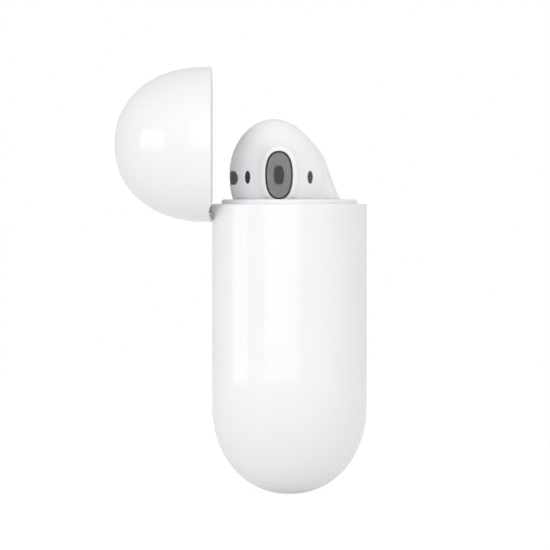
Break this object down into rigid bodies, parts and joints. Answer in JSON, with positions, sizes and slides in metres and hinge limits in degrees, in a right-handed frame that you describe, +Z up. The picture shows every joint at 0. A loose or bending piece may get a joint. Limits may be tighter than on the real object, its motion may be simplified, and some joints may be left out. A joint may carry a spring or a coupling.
{
  "type": "wireless earbuds case",
  "caption": "Pebble-shaped charging case with a flip-up hinged lid, holding a pair of stemmed wireless earbuds upright in a moulded tray.",
  "frame": {"origin": "middle of the case's bottom end, at the mouth of the charging port", "axes": "+X to the right across the case's width, -Y out of the front, +Y out of the back where the lid's hinge is, +Z up from the bottom end to the lid"},
  "size_m": [0.0444, 0.0348, 0.0589],
  "materials": {
    "white_plastic": "clear-coated white polycarbonate, mirror gloss",
    "bud_white": "white polycarbonate, mirror gloss",
    "button_white": "white polycarbonate, satin",
    "hinge_steel": "finely brushed stainless steel",
    "pin_steel": "ground steel",
    "trim_steel": "polished stainless steel",
    "port_steel": "stamped stainless steel",
    "contact_gold": "gold plate",
    "flex_amber": "polyimide flat cable",
    "battery_wrap": "dark film wrap",
    "board_dark": "solder mask",
    "shield_can": "tinned steel",
    "switch_black": "moulded black plastic",
    "carrier_black": "moulded black plastic",
    "magnet_nickel": "nickel plate",
    "light_pipe": "clear polycarbonate",
    "led_resin": "moulded resin",
    "grille_mesh": "black woven steel mesh",
    "sensor_black": "tinted window",
    "vent_mesh": "black steel mesh",
    "driver_black": "moulded black plastic"
  },
  "bodies": {
    "case": {"body_shell": "white_plastic", "cradle_tray": "white_plastic", "hinge_case_leaf": "hinge_steel", "hinge_pin": "pin_steel", "port_trim_ring": "trim_steel", "charging_port": "port_steel", "port_pins": "contact_gold", "port_flex": "flex_amber", "battery": "battery_wrap", "battery_lead": "flex_amber", "main_board": "board_dark", "board_parts": "shield_can", "button_switch": "switch_black", "contact_carrier_left": "carrier_black", "contact_carrier_right": "carrier_black", "contact_pins": "contact_gold", "contact_flex": "flex_amber", "bud_magnets": "magnet_nickel", "catch_magnet_case": "magnet_nickel", "hinge_magnet_case": "magnet_nickel", "status_light_pipe": "light_pipe", "status_led": "led_resin", "light_flex": "flex_amber"},
    "lid": {"lid_shell": "white_plastic", "lid_liner": "white_plastic", "hinge_lid_leaf": "hinge_steel", "catch_magnet_lid": "magnet_nickel", "hinge_magnet_lid": "magnet_nickel"},
    "button": {"setup_button": "button_white"},
    "left_earbud": {"left_cap": "bud_white", "left_housing": "bud_white", "left_grille": "grille_mesh", "left_sensor_windows": "sensor_black", "left_rear_vent": "vent_mesh", "left_outer_mic_mesh": "vent_mesh", "left_driver": "driver_black", "left_driver_magnet": "magnet_nickel", "left_head_board": "board_dark", "left_cell": "battery_wrap", "left_antenna_strip": "flex_amber", "left_stem_mic": "shield_can", "left_stem_ring": "trim_steel", "left_stem_mesh": "vent_mesh"},
    "right_earbud": {"right_cap": "bud_white", "right_housing": "bud_white", "right_grille": "grille_mesh", "right_sensor_windows": "sensor_black", "right_rear_vent": "vent_mesh", "right_outer_mic_mesh": "vent_mesh", "right_driver": "driver_black", "right_driver_magnet": "magnet_nickel", "right_head_board": "board_dark", "right_cell": "battery_wrap", "right_antenna_strip": "flex_amber", "right_stem_mic": "shield_can", "right_stem_ring": "trim_steel", "right_stem_mesh": "vent_mesh"}
  },
  "joints": [
    {"name": "lid_hinge", "type": "hinge", "parent": "case", "child": "lid", "pos_m": [0, 0.00945, 0.0388], "axis": [1, 0, 0], "range_deg": [0, 90]},
    {"name": "button_press", "type": "slide", "parent": "case", "child": "button", "axis": [0, -1, 0], "range_m": [0, 0.0003], "stiffness_N_per_m": 600, "springref_m": -0.0002},
    {"name": "left_earbud_lift", "type": "slide", "parent": "case", "child": "left_earbud", "axis": [0, 0, 1], "range_m": [0, 0.045]},
    {"name": "right_earbud_lift", "type": "slide", "parent": "case", "child": "right_earbud", "axis": [0, 0, 1], "range_m": [0, 0.045]}
  ]
}
